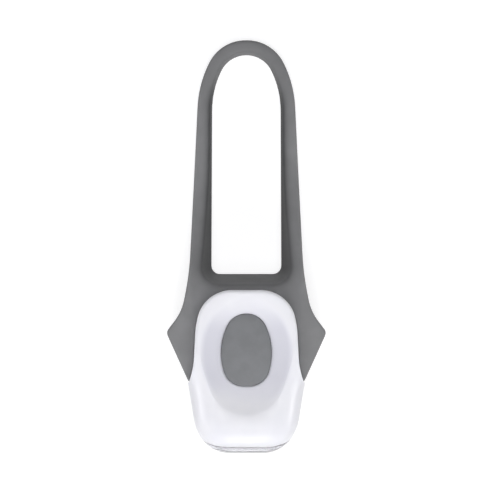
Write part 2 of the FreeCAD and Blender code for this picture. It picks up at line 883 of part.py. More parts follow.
def coin_cell(low):
    """Coin cell with its wide can towards the cover and the smaller can towards the board."""
    radius = cell_diameter / 2
    step = cell_thickness - cell_cap_height
    can = post(radius, 0, 0, low, low + step)
    can = can.makeChamfer(cell_chamfer, edges_where(can, lambda m, lower, upper: upper > 0.9))
    cap = post(radius - cell_edge_step, 0, 0, low + step, low + cell_thickness)
    return joined(can, cap)


def lug_centre(index):
    return 90 + index * 360 / lug_count


def battery_cover():
    """Bayonet disc with a coin slot outside, and a ring with three lugs inside."""
    disc = post(rim_radius, 0, 0, cover_z, rim_z)
    spigot = ring(spigot_radius, spigot_radius - cover_ring_wall, rim_z, lug_top)
    lugs = [sector(lug_radius, spigot_radius - cover_ring_wall / 2, lug_z, lug_top, lug_centre(i),
                   lug_angle) for i in range(lug_count)]
    seat_half = ring_section / 2 + ring_play
    seat = ring(o_ring_radius() + seat_half, o_ring_radius() - seat_half,
                ledge_z - ring_section - ring_play, rim_z)
    half = coin_slot_length / 2
    slot = box(-half, half, -coin_slot_width / 2, coin_slot_width / 2, 0, cover_z + coin_slot_depth)
    return joined(disc, spigot, *lugs).cut([seat, slot])


def o_ring_radius():
    return (groove_radius + rim_radius) / 2


def cover_o_ring():
    centre_z = ledge_z - (ring_section + ring_play) / 2
    return Part.makeTorus(o_ring_radius(), ring_section / 2, FreeCAD.Vector(0, 0, centre_z))


def button_cap():
    """Domed cap, hollow over the switch, with a flange that keeps it in."""
    cap = plan_block(button_corners(), flange_z, button_crown + over)
    dome = Part.makeSphere(button_dome_radius,
                           FreeCAD.Vector(0, button_crown_y, button_crown - button_dome_radius))
    cap = cap.common(dome)
    cap = cap.makeFillet(button_edge, edges_where(cap, lambda m, low, high: low < 0.01
                                                  and high > 0.8 and m.z > shelf_z))
    flange = plan_block(grown(button_corners(), button_flange), flange_z,
                        flange_z + button_flange_thickness)
    return joined(cap, flange).cut(post(button_recess_radius, 0, 0, 0, button_floor))


def button_seal():
    """Lip seal round the button, under the shelf of the front housing."""
    outer = plan_block(grown(button_corners(), seal_width), seal_z, shelf_z)
    return outer.cut(plan_block(grown(button_corners(), button_gap / 2), 0, far))


def switch_body():
    half = switch_width / 2
    body = box(-half, half, -half, half, board_top, frame_z)
    return body.cut(post(plunger_radius + plunger_gap, 0, 0,
                         frame_z - plunger_depth - button_travel - stack_gap, far))


def switch_frame():
    half = switch_width / 2
    plate = box(-half, half, -half, half, frame_z, frame_z + switch_frame_thickness)
    return plate.cut(post(plunger_radius + plunger_gap, 0, 0, 0, far))


def switch_plunger():
    return post(plunger_radius, 0, 0, frame_z - plunger_depth, plunger_top)


def bent_sheet(path, side, width):
    """Sheet metal bent along a path in Y and Z, its thickness to one side of the path."""
    half = width / 2
    points = [FreeCAD.Vector(-half, y, z) for y, z in path]
    offset = []
    for index, point in enumerate(points):
        runs = [after - before for before, after in zip(points, points[1:])][max(index - 1, 0):index + 1]
        normals = [FreeCAD.Vector(0, -run.z, run.y).normalize() for run in runs]
        total = sum(normals, FreeCAD.Vector())
        offset.append(point + total * (side * metal / total.dot(normals[0])))
    face = Part.Face(Part.makePolygon(points + offset[::-1] + points[:1]))
    return face.extrude(FreeCAD.Vector(width, 0, 0))


def contact_leaf():
    """Spring leaf under the board that presses on the inner cell."""
    touch_z = cell_top + contact_gap + metal
    path = [(leaf_root_y, board_z), (leaf_bend_y, board_z), (leaf_touch_y, touch_z),
            (leaf_touch_y - leaf_tail, touch_z + metal)]
    return bent_sheet(path, 1, leaf_width)


def contact_strip():
    """Side contact from the board down through the bay wall to the outer cell's can."""
    out = -bay_outer - strip_gap
    touch = -cell_diameter / 2 - contact_gap
    touch_z = cell_z + strip_touch_height
    path = [(out, board_z), (out, touch_z + strip_bend), (touch, touch_z),
            (touch - strip_tail_out, touch_z - strip_tail_drop)]
    return bent_sheet(path, -1, strip_width)


def board_part(size, x, y):
    wide, long, high = size
    return box(x - wide / 2, x + wide / 2, y - long / 2, y + long / 2, board_top, board_top + high)


def write(name, *solids):
    shape = solids[0] if len(solids) == 1 else Part.makeCompound(list(solids))
    if not shape.isValid():
        print("not valid:", name)
    shape.exportStep("parts/%s.step" % name)
    print("%-18s %2d solids %9.1f mm3" % (name, len(shape.Solids), shape.Volume))


os.makedirs("parts", exist_ok=True)
write("silicone_holder", silicone_holder())
write("front_housing", front_housing())
write("rear_housing", rear_housing())
write("housing_gasket", housing_gasket())
write("end_lens", end_lens())
write("lens_seal", lens_seal())
write("reflector", reflector())
write("led_left", *led(-led_x))
write("led_right", *led(led_x))
write("circuit_board", circuit_board())
write("controller_chip", board_part(chip_size, 0, chip_step - bay_outer))
write("resistors", *[board_part(resistor_size, first_resistor_x + index * resistor_pitch, bay_outer)
                     for index in range(resistor_count)])
write("capacitor", board_part(capacitor_size, capacitor_x, bay_outer))
write("switch_body", switch_body())
write("switch_frame", switch_frame())
write("switch_plunger", switch_plunger())
write("button_cap", button_cap())
write("button_seal", button_seal())
write("contact_leaf", contact_leaf())
write("contact_strip", contact_strip())
write("coin_cell_outer", coin_cell(cell_z))
write("coin_cell_inner", coin_cell(cell_z + cell_thickness))
write("battery_cover", battery_cover())
write("cover_o_ring", cover_o_ring())
write("housing_screws", *both_sides(
    lambda x: screw(housing_screw_radius, housing_screw_head_radius, housing_screw_head,
                    housing_screw_length, x, housing_screw_y, back_z + recess_gap),
    housing_screw_x))
write("board_screws", *both_sides(
    lambda x: screw(board_screw_radius, board_screw_head_radius, board_screw_head,
                    board_screw_length, x, board_screw_y, board_z - board_screw_head),
    board_screw_x))
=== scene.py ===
import bmesh
import bpy
import json
import math
from mathutils import Matrix, Vector


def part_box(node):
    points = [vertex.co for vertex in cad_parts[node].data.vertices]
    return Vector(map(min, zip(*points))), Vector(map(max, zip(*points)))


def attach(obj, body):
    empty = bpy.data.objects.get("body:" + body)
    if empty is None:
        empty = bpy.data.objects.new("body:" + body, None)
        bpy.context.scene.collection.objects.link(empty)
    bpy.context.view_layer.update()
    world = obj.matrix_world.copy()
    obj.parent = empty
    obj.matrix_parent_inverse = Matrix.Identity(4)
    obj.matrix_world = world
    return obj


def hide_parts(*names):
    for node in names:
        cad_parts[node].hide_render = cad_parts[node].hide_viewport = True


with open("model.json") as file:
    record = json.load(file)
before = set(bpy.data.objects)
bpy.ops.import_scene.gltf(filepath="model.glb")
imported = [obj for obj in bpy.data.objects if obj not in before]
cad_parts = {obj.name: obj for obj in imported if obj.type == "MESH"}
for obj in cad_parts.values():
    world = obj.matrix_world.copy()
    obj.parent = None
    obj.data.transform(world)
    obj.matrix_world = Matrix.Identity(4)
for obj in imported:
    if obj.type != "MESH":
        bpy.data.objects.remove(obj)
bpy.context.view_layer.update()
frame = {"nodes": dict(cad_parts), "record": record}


# One output socket in a material. Python's operators on it add Math nodes.
class Wire:
    def __init__(self, socket):
        self.socket = socket

    def node(self, kind, settings=None, sockets=None, output=0):
        tree = self.socket.id_data
        made = tree.nodes.new(kind)
        for name, value in (settings or {}).items():
            setattr(made, name, value)
        for name, value in (sockets or {}).items():
            if isinstance(value, Wire):
                tree.links.new(value.socket, made.inputs[name])
            else:
                made.inputs[name].default_value = value
        return Wire(made.outputs[output])

    def math(self, operation, first, second=0.0):
        return self.node("ShaderNodeMath", {"operation": operation}, {0: first, 1: second})

    def __add__(self, other):
        return self.math("ADD", self, other)

    def __radd__(self, other):
        return self.math("ADD", other, self)

    def __sub__(self, other):
        return self.math("SUBTRACT", self, other)

    def __rsub__(self, other):
        return self.math("SUBTRACT", other, self)

    def __mul__(self, other):
        return self.math("MULTIPLY", self, other)

    def __rmul__(self, other):
        return self.math("MULTIPLY", other, self)

    def __pow__(self, other):
        return self.math("POWER", self, other)

    def absolute(self):
        return self.math("ABSOLUTE", self)

    def larger(self, other):
        return self.math("MAXIMUM", self, other)

    def axis(self, letter):
        return self.node("ShaderNodeSeparateXYZ", None, {"Vector": self}, letter)

    def noise(self, scale, detail):
        return self.node("ShaderNodeTexNoise", None,
                         {"Vector": self, "Scale": scale, "Detail": detail})

    def ramp(self, low, high):
        return self.node("ShaderNodeMapRange", {"interpolation_type": "SMOOTHSTEP"},
                         {"Value": self, "From Min": low, "From Max": high})

    def mix(self, first, second):
        # self is the mask; a Mix node's colours are its sockets 6 and 7 and its output 2
        return self.node("ShaderNodeMix", {"data_type": "RGBA"},
                         {0: self, 6: first, 7: second}, 2)

    def bump(self, height, below=None):
        sockets = {"Height": self, "Distance": height}
        if below is not None:
            sockets["Normal"] = below
        return self.node("ShaderNodeBump", None, sockets)


def grey(level, warmth=0.0):
    return (level * (1 + warmth), level, level * (1 - warmth), 1)


# A new material with its constants set on the shader; gives it, its shader and its place.
def startMaterial(name, constants):
    made = bpy.data.materials.new(name)
    made.use_nodes = True
    shader = made.node_tree.nodes["Principled BSDF"]
    for socket, value in constants.items():
        shader.inputs[socket].default_value = value
    place = Wire(shader.outputs[0]).node("ShaderNodeTexCoord", output="Object")
    return made, shader, place


def feed(node, wires):
    for socket, wire in wires.items():
        node.id_data.links.new(wire.socket, node.inputs[socket])


# In the looks below, a cloud and a grain are noises, by scale and detail. The cloud sets the
# colour between dark and light; the grain adds roughness and a relief, in metres.

# The parting line of the mould runs low round the holder. The walls of the loop's hole and the
# end of the loop carry a painted shade, a darker colour; where it lies, the skin is also
# smoother.
siliconeLook = {
    "constants": {"Specular IOR Level": 0.05, "Sheen Weight": 0.01, "Sheen Roughness": 0.6},
    # The darkest colour here is the painted shade on the hole's walls and at the loop's end.
    "dark": grey(0.234, -0.005), "light": grey(0.262, -0.005), "paintedShade": grey(0.056, -0.02),
    "cloud": (140, 4), "spread": (0.3, 0.7), "grain": (5200, 2),
    "roughness": 0.52, "grainRoughness": 0.16, "coreSmoothness": 0.1, "relief": 0.00001,
    "partingZ": 0.002, "partingHalf": 0.00006, "partingHeight": 0.00005,
}


def siliconeMaterial():
    look = siliconeLook
    made, shader, place = startMaterial("silicone", look["constants"])
    grain = place.noise(*look["grain"])
    cloud = place.noise(*look["cloud"]).ramp(*look["spread"])
    fromLine = (place.axis("Z") - look["partingZ"]).absolute()
    parting = 1 - fromLine.ramp(0.0, look["partingHalf"])
    # The layer read here gives the share of painted shade, which also lowers the roughness.
    paintedShade = place.node("ShaderNodeAttribute", {"attribute_name": "paintedShadeAndPolish"}, output="Fac")
    feed(shader, {
        "Base Color": paintedShade.mix(cloud.mix(look["dark"], look["light"]), look["paintedShade"]),
        "Roughness": (look["roughness"] + look["grainRoughness"] * grain
                      - look["coreSmoothness"] * paintedShade),
        "Normal": parting.bump(look["partingHeight"], grain.bump(look["relief"])),
    })
    return made


# The bowl round the button carries a painted shade: the colour is darker there.
# The painted shade is an oval in the bowl, only on the front, and fades out towards both ends.
milkyLook = {
    "constants": {"IOR": 1.49, "Specular IOR Level": 0.3, "Subsurface Weight": 0.35,
                  "Subsurface Radius": (1.0, 1.0, 1.05), "Subsurface Scale": 0.0016,
                  "Coat Weight": 0.08, "Coat Roughness": 0.2},
    "dark": (0.885, 0.887, 0.937, 1), "light": (0.94, 0.94, 0.985, 1),
    # The last colour is the painted shade in the bowl.
    "bowlShade": (0.755, 0.755, 0.815, 1),
    "cloud": (90, 3), "spread": (0.3, 0.7), "grain": (2400, 2),
    "roughness": 0.3, "grainRoughness": 0.1, "relief": 0.000004,
    "bowlShadeY": -0.001, "bowlShadeHalfX": 0.0114, "bowlShadeHalfY": 0.0146, "bowlShadeEdge": (0.75, 1.05),
    "frontZ": (0.016, 0.0185), "endFade": (0.35, 0.9),
}


def milkyMaterial():
    look = milkyLook
    made, shader, place = startMaterial("milkyPlastic", look["constants"])
    grain = place.noise(*look["grain"])
    cloud = place.noise(*look["cloud"]).ramp(*look["spread"])
    across = place.axis("X") * (1 / look["bowlShadeHalfX"])
    along = (place.axis("Y") - look["bowlShadeY"]) * (1 / look["bowlShadeHalfY"])
    oval = 1 - (across ** 2 + along ** 2).ramp(*look["bowlShadeEdge"])
    front = place.axis("Z").ramp(*look["frontZ"])
    beside = 1 - along.absolute().ramp(*look["endFade"])
    body = cloud.mix(look["dark"], look["light"])
    feed(shader, {
        # Painted shade: the body's colour darkens inside the oval in the bowl.
        "Base Color": (oval * front * beside).mix(body, look["bowlShade"]),
        "Roughness": look["roughness"] + look["grainRoughness"] * grain,
        "Normal": grain.bump(look["relief"]),
    })
    return made


# Finishes with no pattern of their own. Without a cloud, the grain sets the colour as well.
plainLooks = {
    "button_rubber": {
        "name": "buttonRubber", "constants": {"Specular IOR Level": 0.4, "Sheen Weight": 0.1},
        "dark": grey(0.178, -0.03), "light": grey(0.2, -0.03), "cloud": (260, 3),
        "spread": (0.3, 0.7), "grain": (6500, 2), "roughness": 0.46, "grainRoughness": 0.14,
        "relief": 0.000008},
    "clear_plastic": {
        "name": "clearPlastic", "constants": {"IOR": 1.49, "Transmission Weight": 0.88},
        "dark": (0.9, 0.9, 0.94, 1), "light": (0.95, 0.95, 0.97, 1), "spread": (0.2, 0.8),
        "grain": (900, 3), "roughness": 0.04, "grainRoughness": 0.08},
    "led_resin": {
        "name": "ledResin", "constants": {"IOR": 1.53, "Transmission Weight": 0.9},
        "dark": (0.96, 0.97, 0.98, 1), "light": (0.99, 0.99, 1, 1),
        "grain": (1500, 2), "roughness": 0.03, "grainRoughness": 0.05},
    "seal_rubber": {
        "name": "sealRubber", "constants": {"Specular IOR Level": 0.35},
        "dark": grey(0.64), "light": grey(0.72),
        "grain": (4200, 2), "roughness": 0.5, "grainRoughness": 0.2, "relief": 0.00001},
    "bright_reflector": {
        "name": "brightReflector", "constants": {"Metallic": 1.0},
        "dark": grey(0.86), "light": grey(0.93),
        "grain": (700, 3), "roughness": 0.06, "grainRoughness": 0.1, "relief": 0.00001},
    "black_parts": {
        "name": "blackParts", "constants": {"Specular IOR Level": 0.4},
        "dark": grey(0.012), "light": grey(0.022),
        "grain": (7000, 3), "roughness": 0.55, "grainRoughness": 0.2, "relief": 0.000012},
    "ceramic_tan": {
        "name": "ceramicTan", "constants": {"Specular IOR Level": 0.4},
        "dark": (0.28, 0.17, 0.08, 1), "light": (0.36, 0.23, 0.12, 1),
        "grain": (7000, 3), "roughness": 0.55, "grainRoughness": 0.2, "relief": 0.000012},
    "die_yellow": {
        "name": "dieYellow", "constants": {"Specular IOR Level": 0.4},
        "dark": (0.75, 0.62, 0.1, 1), "light": (0.85, 0.75, 0.2, 1),
        "grain": (7000, 3), "roughness": 0.55, "grainRoughness": 0.2, "relief": 0.000012},
    "cover_plastic": {
        "name": "coverPlastic", "constants": {"IOR": 1.49},
        "dark": (0.76, 0.76, 0.79, 1), "light": (0.81, 0.81, 0.84, 1), "cloud": (120, 2),
        "grain": (3600, 3), "roughness": 0.42, "grainRoughness": 0.2, "relief": 0.000014},
}


def plainMaterial(look):
    made, shader, place = startMaterial(look["name"], look["constants"])
    grain = place.noise(*look["grain"])
    cloud = place.noise(*look["cloud"]) if "cloud" in look else grain
    if "spread" in look:
        cloud = cloud.ramp(*look["spread"])
    feed(shader, {
        "Base Color": cloud.mix(look["dark"], look["light"]),
        "Roughness": look["roughness"] + look["grainRoughness"] * grain,
    })
    if "relief" in look:
        feed(shader, {"Normal": grain.bump(look["relief"])})
    return made


# Metals share their noises. The lines are long along the axis with the small number.
metalGrain = {"lines": (1500, 4), "cloud": (300, 3), "lineRoughness": 0.18, "relief": 0.000003}
metalLooks = {
    "spring_steel": {"name": "springSteel", "dark": grey(0.52), "light": grey(0.62),
                     "roughness": 0.22, "brushed": (1, 0.1, 1)},
    "cell_can": {"name": "cellCan", "dark": grey(0.6, 0.02), "light": grey(0.7, 0.02),
                 "roughness": 0.2, "brushed": (0.2, 1, 1)},
    "screw_steel": {"name": "screwSteel", "dark": grey(0.5), "light": grey(0.6),
                    "roughness": 0.25, "brushed": (1, 1, 0.3)},
}


def metalMaterial(look):
    made, shader, place = startMaterial(look["name"], {"Metallic": 1.0})
    stretched = place.node("ShaderNodeMapping", None, {"Vector": place, "Scale": look["brushed"]})
    lines = stretched.noise(*metalGrain["lines"])
    cloud = place.noise(*metalGrain["cloud"])
    feed(shader, {
        "Base Color": cloud.mix(look["dark"], look["light"]),
        "Roughness": look["roughness"] + metalGrain["lineRoughness"] * lines,
        "Normal": lines.bump(metalGrain["relief"]),
    })
    return made


# Copper tracks under green resist: the cells of a Voronoi pattern, with gaps between them.
boardLook = {
    "constants": {"IOR": 1.5}, "gap": (0.02, 0.12, 0.05, 1), "track": (0.035, 0.17, 0.075, 1),
    "cells": 420, "trackEdge": (0.05, 0.08), "weave": (5000, 1),
    "roughness": 0.3, "weaveRoughness": 0.15, "relief": 0.00002,
}


def boardMaterial():
    look = boardLook
    made, shader, place = startMaterial("board", look["constants"])
    toEdge = place.node("ShaderNodeTexVoronoi", {"feature": "DISTANCE_TO_EDGE"},
                        {"Vector": place, "Scale": look["cells"]})
    tracks = toEdge.ramp(*look["trackEdge"])
    weave = place.noise(*look["weave"])
    feed(shader, {
        "Base Color": tracks.mix(look["gap"], look["track"]),
        "Roughness": look["roughness"] + look["weaveRoughness"] * weave,
        "Normal": tracks.bump(look["relief"]),
    })
    return made


def makeMaterials():
    made = {"silicone": siliconeMaterial(), "milky_plastic": milkyMaterial(),
            "board": boardMaterial()}
    for slot, look in plainLooks.items():
        made[slot] = plainMaterial(look)
    for slot, look in metalLooks.items():
        made[slot] = metalMaterial(look)
    print("materials made:", len(made))
    return made


def paint(piece, material):
    piece.data.materials.clear()
    piece.data.materials.append(material)


# CAD nodes keep their meshes; two modifiers join their triangles and keep sharp edges sharp.
cadFinish = {"merge": 0.0000005, "sharp": math.radians(32)}


def dressNodes(materials):
    for row in frame["record"]["subparts"]:
        piece = frame["nodes"][row["node"]]
        paint(piece, materials[row["material_slot"]])
        for polygon in piece.data.polygons:
            polygon.use_smooth = True
        weld = piece.modifiers.new("join", "WELD")
        weld.merge_threshold = cadFinish["merge"]
        split = piece.modifiers.new("edges", "EDGE_SPLIT")
        split.split_angle = cadFinish["sharp"]
    print("nodes dressed:", len(frame["nodes"]))


# Makes a visible piece from a bmesh, riding on a body, with a material.
def finishPiece(name, model, body, material, smooth=False):
    for face in model.faces:
        face.smooth = smooth
    mesh = bpy.data.meshes.new(name)
    model.to_mesh(mesh)
    model.free()
    piece = bpy.data.objects.new(name, mesh)
    bpy.context.scene.collection.objects.link(piece)
    paint(piece, material)
    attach(piece, body)
    print(name + ":", len(mesh.polygons), "faces")
    return piece


# Blocks have rounded edges; spun shapes have their seam and poles joined.
making = {"edgeSegments": 2, "merge": 0.000001}


def addBlock(model, low, high, bevel):
    low, high = Vector(low), Vector(high)
    made = bmesh.ops.create_cube(model, size=1)["verts"]
    bmesh.ops.scale(model, verts=made, vec=high - low)
    bmesh.ops.translate(model, verts=made, vec=(low + high) / 2)
    edges = list({edge for vert in made for edge in vert.link_edges})
    bmesh.ops.bevel(model, geom=edges, offset=bevel, offset_type="OFFSET",
                    segments=making["edgeSegments"], profile=0.5, affect="EDGES", material=-1)


# An open line of edges through the points
def addLine(model, points):
    verts = [model.verts.new(point) for point in points]
    return verts, [model.edges.new(pair) for pair in zip(verts, verts[1:])]


# Draws edges out into a sheet; gives the vertices of its new side.
def drawOut(model, edges):
    swept = bmesh.ops.extrude_edge_only(model, edges=edges)["geom"]
    return [element for element in swept if isinstance(element, bmesh.types.BMVert)]


def spunShape(model, profile, axis, centre, steps):
    verts, edges = addLine(model, profile)
    bmesh.ops.spin(model, geom=verts + edges, cent=centre, axis=axis, dvec=(0, 0, 0),
                   angle=2 * math.pi, steps=steps, use_merge=True, use_duplicate=False)
    bmesh.ops.remove_doubles(model, verts=model.verts, dist=making["merge"])
    bmesh.ops.recalc_face_normals(model, faces=model.faces)


# Inside each LED: a cup with its die on one blade, a plain blade, and a bond wire.
# A blade is given from side to side, and its end from the back of the resin.
ledInside = {"resinLength": 0.007, "flangeRadius": 0.0029, "bladeHalf": 0.00022,
             "cupBlade": (-0.00155, 0.0002), "cupBladeEnd": 0.0030,
             "plainBlade": (0.0006, 0.00155), "plainBladeEnd": 0.0027, "bevel": 0.00006,
             "cupDepth": 0.0007, "cupBottom": 0.0004, "cupMouth": 0.0009, "cupWall": 0.00014,
             "cupSteps": 24, "die": 0.00036, "dieBevel": 0.00003,
             "wireRadius": 0.00006, "wireSides": 8, "wireSteps": 12}


def addCup(model, x, y, z):
    look = ledInside
    bottom, mouth, wall = look["cupBottom"], look["cupMouth"], look["cupWall"]
    mouthY = y - look["cupDepth"]
    profile = [(x, y, z), (x + bottom, y, z), (x + mouth, mouthY, z),
               (x + mouth - wall, mouthY, z), (x + bottom - wall, y - wall, z),
               (x, y - wall, z)]
    cup = bmesh.new()
    spunShape(cup, profile, (0, 1, 0), (x, y, z), look["cupSteps"])
    mesh = bpy.data.meshes.new("cup")
    cup.to_mesh(mesh)
    cup.free()
    model.from_mesh(mesh)


# Half a turn from the plain blade's middle to the die
def addBondWire(model, x, y, z):
    look = ledInside
    radius = (look["plainBlade"][0] + look["plainBlade"][1]) / 4
    start = bmesh.ops.create_circle(model, radius=look["wireRadius"],
                                    segments=look["wireSides"], cap_ends=True)["verts"]
    bmesh.ops.rotate(model, verts=start, cent=(0, 0, 0),
                     matrix=Matrix.Rotation(math.pi / 2, 3, "X"))
    bmesh.ops.translate(model, verts=start, vec=(x + 2 * radius, y, z))
    faces = list({face for vert in start for face in vert.link_faces})
    bmesh.ops.spin(model, geom=faces, cent=(x + radius, y, z), axis=(0, 0, 1), dvec=(0, 0, 0),
                   angle=-math.pi, steps=look["wireSteps"], use_merge=False,
                   use_duplicate=False)


def makeLedInsides(frameMetal, dieYellow):
    look = ledInside
    blades = bmesh.new()
    dies = bmesh.new()
    for node in ("led_left", "led_right"):
        low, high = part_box(node)
        x = (low[0] + high[0]) / 2
        z = high[2] - look["flangeRadius"]
        back = low[1] + look["resinLength"]
        for blade, end in ((look["cupBlade"], look["cupBladeEnd"]),
                           (look["plainBlade"], look["plainBladeEnd"])):
            addBlock(blades, (x + blade[0], back - end, z - look["bladeHalf"]),
                     (x + blade[1], back, z + look["bladeHalf"]), look["bevel"])
        addCup(blades, x, back - look["cupBladeEnd"], z)
        addBondWire(blades, x, back - look["plainBladeEnd"], z)
        half = look["die"] / 2
        dieY = back - look["cupBladeEnd"] - look["cupWall"]
        addBlock(dies, (x - half, dieY - half, z - half), (x + half, dieY, z + half),
                 look["dieBevel"])
    finishPiece("led_frames", blades, "module", frameMetal)
    finishPiece("led_dies", dies, "module", dieYellow)


# Gull-wing legs of the chip and the switch, bent from a strip. The bend is at a share of
# their reach.
legs = {"sheet": 0.00012, "bend": 0.4, "rows": (
    {"node": "controller_chip", "places": (-0.00065, 0, 0.00065), "width": 0.00028,
     "reach": 0.00062, "rise": 0.00045},
    {"node": "switch_body", "places": (-0.0018, 0.0018), "width": 0.0006,
     "reach": 0.0008, "rise": 0.0005})}


def makeLegs(tin):
    model = bmesh.new()
    sheet = legs["sheet"]
    for row in legs["rows"]:
        low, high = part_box(row["node"])
        middle = (low[1] + high[1]) / 2
        foot = low[2] + sheet / 2
        for side, edge in ((-1, low[0]), (1, high[0])):
            for place in row["places"]:
                y = middle + place - row["width"] / 2
                bend = edge + side * row["reach"] * legs["bend"]
                path = [(edge - side * sheet, y, foot + row["rise"]),
                        (bend, y, foot + row["rise"]), (bend + side * sheet, y, foot),
                        (edge + side * row["reach"], y, foot)]
                edges = addLine(model, path)[1]
                bmesh.ops.translate(model, verts=drawOut(model, edges),
                                    vec=(0, row["width"], 0))
    bmesh.ops.recalc_face_normals(model, faces=model.faces)
    bmesh.ops.solidify(model, geom=model.faces, thickness=sheet)
    finishPiece("component_legs", model, "module", tin)


# Tinned ends of the resistors, which are one node, and of the capacitor
endCaps = {"length": 0.0003, "proud": 0.00002, "bevel": 0.00003, "resistorLength": 0.0016,
           "resistorCount": 3}


def makeEndCaps(tin):
    model = bmesh.new()
    low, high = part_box("resistors")
    length = endCaps["resistorLength"]
    pitch = (high[0] - low[0] - length) / (endCaps["resistorCount"] - 1)
    bodies = [((low[0] + pitch * index, low[1], low[2]),
               (low[0] + pitch * index + length, high[1], high[2]))
              for index in range(endCaps["resistorCount"])]
    bodies.append(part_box("capacitor"))
    more = endCaps["proud"]
    for low, high in bodies:
        for start in (low[0] - more, high[0] + more - endCaps["length"]):
            addBlock(model, (start, low[1] - more, low[2]),
                     (start + endCaps["length"], high[1] + more, high[2] + more),
                     endCaps["bevel"])
    finishPiece("end_caps", model, "module", tin)


# Solder fillets round the LEDs' leads on the board
solder = {"foot": 0.0008, "neck": 0.00034, "height": 0.00045, "rings": 4, "steps": 20,
          "leadPitch": 0.00254, "leadHalf": 0.00025}


def makeSolder(tin):
    model = bmesh.new()
    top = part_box("circuit_board")[1][2]
    rises = [ring / solder["rings"] for ring in range(solder["rings"] + 1)]
    for node in ("led_left", "led_right"):
        low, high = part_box(node)
        y = high[1] - solder["leadHalf"]
        for side in (-1, 1):
            x = (low[0] + high[0]) / 2 + side * solder["leadPitch"] / 2
            curve = [(x + solder["foot"] * (1 - rise) ** 2
                      + solder["neck"] * (1 - (1 - rise) ** 2),
                      y, top + solder["height"] * rise) for rise in rises]
            spunShape(model, [(x, y, top)] + curve + [(x, y, top + solder["height"])],
                      (0, 0, 1), (x, y, top), solder["steps"])
    finishPiece("solder_joints", model, "module", tin, True)


# A raised arrow and two dots on the back of the battery cover show its turn. Each is a short
# cone, with three corners for the arrow.
coverMarks = {"radius": 0.0088, "height": 0.0001, "taper": 0.85, "marks": (
    {"turn": 90, "size": 0.0009, "corners": 3},
    {"turn": 60, "size": 0.00035, "corners": 20},
    {"turn": 120, "size": 0.00035, "corners": 20})}


def makeCoverMarks(material):
    model = bmesh.new()
    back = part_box("battery_cover")[0][2]
    for mark in coverMarks["marks"]:
        angle = math.radians(mark["turn"])
        made = bmesh.ops.create_cone(model, cap_ends=True, segments=mark["corners"],
                                     radius1=mark["size"],
                                     radius2=mark["size"] * coverMarks["taper"],
                                     depth=coverMarks["height"])["verts"]
        bmesh.ops.rotate(model, verts=made, cent=(0, 0, 0),
                         matrix=Matrix.Rotation(math.pi, 3, "X"))
        bmesh.ops.translate(model, verts=made,
                            vec=(coverMarks["radius"] * math.cos(angle),
                                 coverMarks["radius"] * math.sin(angle),
                                 back - coverMarks["height"] / 2))
    finishPiece("cover_marks", model, "cover", material)


# A thin white lip on the housing, in the gap round the button. It is drawn up from the
# button's own outline at one height, a little larger, and its top follows the bowl's slope.
buttonLip = {"outlineZ": 0.018, "onOutline": 0.0000001, "clear": 0.00003, "span": 0.0075,
             "wall": 0.00014, "foot": 0.01725, "top": 0.0189, "topY": 0.0088, "slope": 0.048}


def makeButtonLip(material):
    look = buttonLip
    model = bmesh.new()
    model.from_mesh(frame["nodes"]["button_cap"].data)
    bmesh.ops.remove_doubles(model, verts=model.verts, dist=cadFinish["merge"])
    bmesh.ops.bisect_plane(model, geom=model.verts[:] + model.edges[:] + model.faces[:],
                           dist=look["onOutline"], plane_co=(0, 0, look["outlineZ"]),
                           plane_no=(0, 0, 1), clear_inner=True, clear_outer=True)
    larger = 1 + look["clear"] / look["span"]
    bmesh.ops.scale(model, verts=model.verts, vec=(larger, larger, 1))
    for vert in model.verts:
        vert.co.z = look["foot"]
    for vert in drawOut(model, model.edges[:]):
        vert.co.z = look["top"] + (look["topY"] - vert.co.y) * look["slope"]
    bmesh.ops.recalc_face_normals(model, faces=model.faces)
    bmesh.ops.solidify(model, geom=model.faces, thickness=-look["wall"])
    bmesh.ops.recalc_face_normals(model, faces=model.faces)
    lip = finishPiece("button_lip", model, "module", material, True)
    lip.modifiers.new("edges", "EDGE_SPLIT").split_angle = cadFinish["sharp"]


# The silicone holder, remade as one soft skin. Its layer says where the skin carries a painted
# shade, which is also smoother: on the walls of the loop's hole and at the loop's end.
holderSkin = {
    "voxel": 0.00031, "softRounds": 3, "softStrength": 0.5,
    "footY": 0.0135,  # nearer to the lens, there is no painted shade
    "holeStart": 0.025, "holeEnd": 0.0645,  # the line along the hole that its walls face
    "fade": 0.008,  # length of the fading at the hole's end
    "reach": 1.3,  # above 1, a wall that faces the line at a slant gets the full painted shade too
    "lossHeight": 0.0125, "sideLoss": 0.4, "webLoss": 0.6,  # share lost at that height
    "webShare": 0.15, "webFocus": 3,  # the wall next to the lamp module has less painted shade
    "endShadeFrom": 0.05, "endShadeTo": 0.072, "paintedEndShade": 0.24,  # painted shade: the end of the loop is a little darker
    "spreadRounds": 12,
}


def clamp(value):
    return max(0.0, min(1.0, value))


# How much painted shade the skin has at a place, from 0 to 1
def paintedShadeAt(place, normal):
    look = holderSkin
    if place.y < look["footY"]:
        return 0.0
    along = (place.y - look["endShadeFrom"]) / (look["endShadeTo"] - look["endShadeFrom"])
    paintedEndShade = look["paintedEndShade"] * clamp(along)
    middle = min(max(place.y, look["holeStart"]), look["holeEnd"])
    inward = Vector((-place.x, middle - place.y, 0)).normalized()
    facing = clamp(look["reach"] * inward.dot(normal))
    fade = clamp((look["holeEnd"] + look["fade"] / 2 - place.y) / look["fade"])
    web = max(0.0, normal.y) ** look["webFocus"]
    share = 1 + web * (look["webShare"] - 1)
    loss = look["sideLoss"] + web * (look["webLoss"] - look["sideLoss"])
    rise = clamp(place.z / look["lossHeight"])
    return max(paintedEndShade, share * (1 - loss * rise) * fade * facing)


